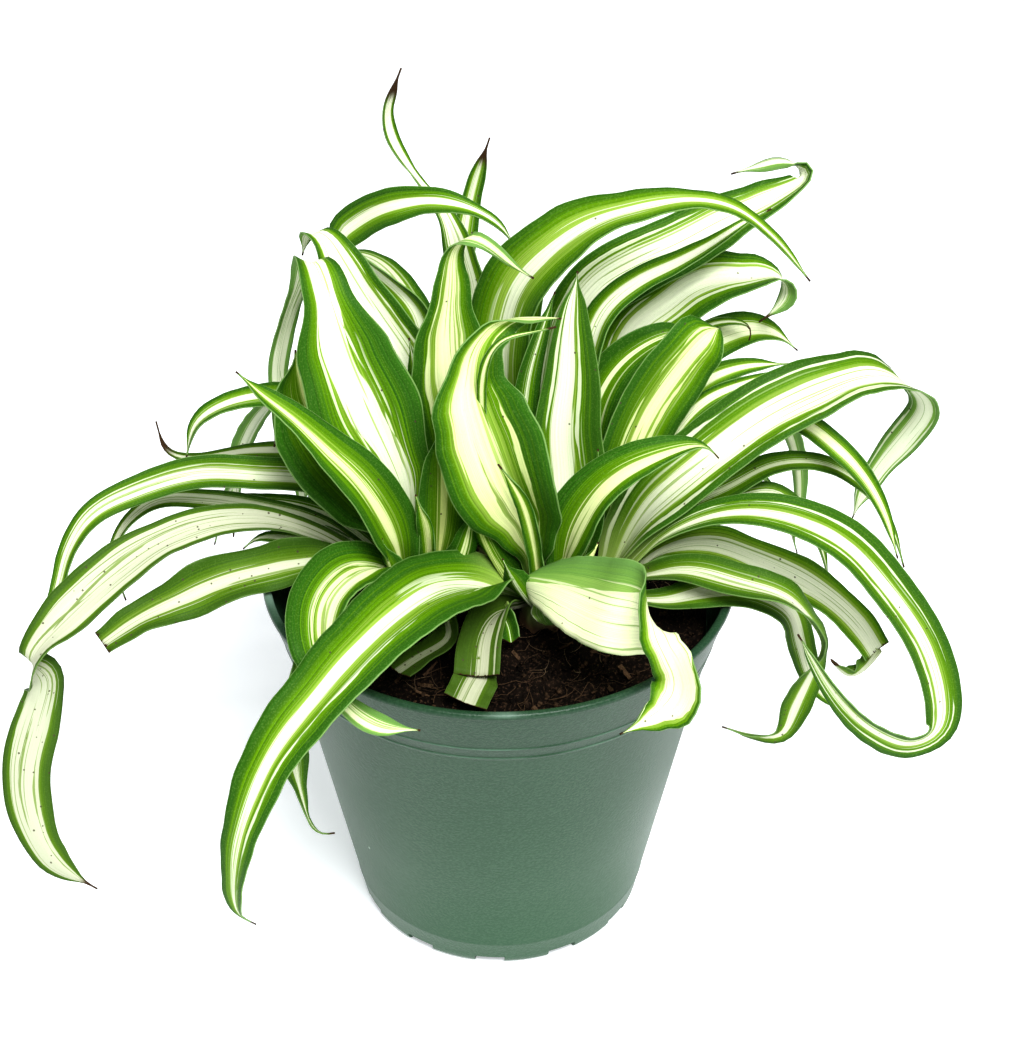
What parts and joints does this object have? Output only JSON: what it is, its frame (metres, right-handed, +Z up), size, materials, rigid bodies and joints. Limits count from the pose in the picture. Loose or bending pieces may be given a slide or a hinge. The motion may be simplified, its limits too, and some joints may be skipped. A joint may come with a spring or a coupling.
{
  "type": "potted spider plant",
  "caption": "Variegated spider plant with long curled green and cream leaves in a round green plastic nursery pot, free-standing on its flat base",
  "frame": {"origin": "centre of the pot's flat base, on the surface that the pot stands on", "axes": "+Z is up along the pot's axis; -Y faces the side that the picture shows, where the long front leaf arches over the rim; +X is to the right from there and runs along the widest spread of the leaves"},
  "size_m": [0.2337, 0.1878, 0.2022],
  "materials": {
    "pot_plastic": "fine satin texture",
    "potting_mix": "loose dark bark and fibre mix",
    "crown_tissue": "smooth pale leaf sheaths",
    "leaf_blade": "satin leaf, green margins with cream stripes"
  },
  "bodies": {
    "root": {"pot": "pot_plastic", "soil": "potting_mix", "crown_a": "crown_tissue", "crown_b": "crown_tissue", "crown_c": "crown_tissue", "crown_d": "crown_tissue", "leaf_front_curl": "leaf_blade", "leaf_front_point": "leaf_blade", "leaf_front_short": "leaf_blade", "leaf_front_arch": "leaf_blade", "leaf_heart_dark": "leaf_blade", "leaf_left_point": "leaf_blade", "leaf_left_dark": "leaf_blade", "leaf_left_broad": "leaf_blade", "leaf_heart_broad": "leaf_blade", "leaf_front_left_curl": "leaf_blade", "leaf_left_cut": "leaf_blade", "leaf_left_long": "leaf_blade", "leaf_left_high_arch": "leaf_blade", "leaf_left_hoop": "leaf_blade", "leaf_left_dry_tip": "leaf_blade", "leaf_left_shade_long": "leaf_blade", "leaf_left_hanging": "leaf_blade", "leaf_upright_white": "leaf_blade", "leaf_back_loop": "leaf_blade", "leaf_centre_striped": "leaf_blade", "leaf_tall_curl": "leaf_blade", "leaf_tall_narrow": "leaf_blade", "leaf_top_arch": "leaf_blade", "leaf_centre_tall": "leaf_blade", "leaf_centre_dark": "leaf_blade", "leaf_right_broad": "leaf_blade", "leaf_right_dark": "leaf_blade", "leaf_top_right_white": "leaf_blade", "leaf_top_right_narrow": "leaf_blade", "leaf_right_curl": "leaf_blade", "leaf_right_pale": "leaf_blade", "leaf_right_level": "leaf_blade", "leaf_right_arch": "leaf_blade", "leaf_right_yellow": "leaf_blade", "leaf_right_low_arch": "leaf_blade", "leaf_right_sweep": "leaf_blade", "leaf_right_hidden": "leaf_blade", "leaf_right_torn": "leaf_blade", "leaf_right_front": "leaf_blade", "leaf_right_under": "leaf_blade", "leaf_back_middle": "leaf_blade", "leaf_back_right": "leaf_blade", "leaf_back_left": "leaf_blade", "leaf_back_low_right": "leaf_blade", "leaf_back_low_left": "leaf_blade", "leaf_back_short": "leaf_blade", "leaf_back_tuft_left": "leaf_blade", "leaf_back_tuft_right": "leaf_blade", "leaf_back_under": "leaf_blade", "leaf_back_far_left": "leaf_blade", "leaf_back_far_right": "leaf_blade", "leaf_back_fold_left": "leaf_blade", "leaf_back_fold_right": "leaf_blade"}
  },
  "joints": []
}
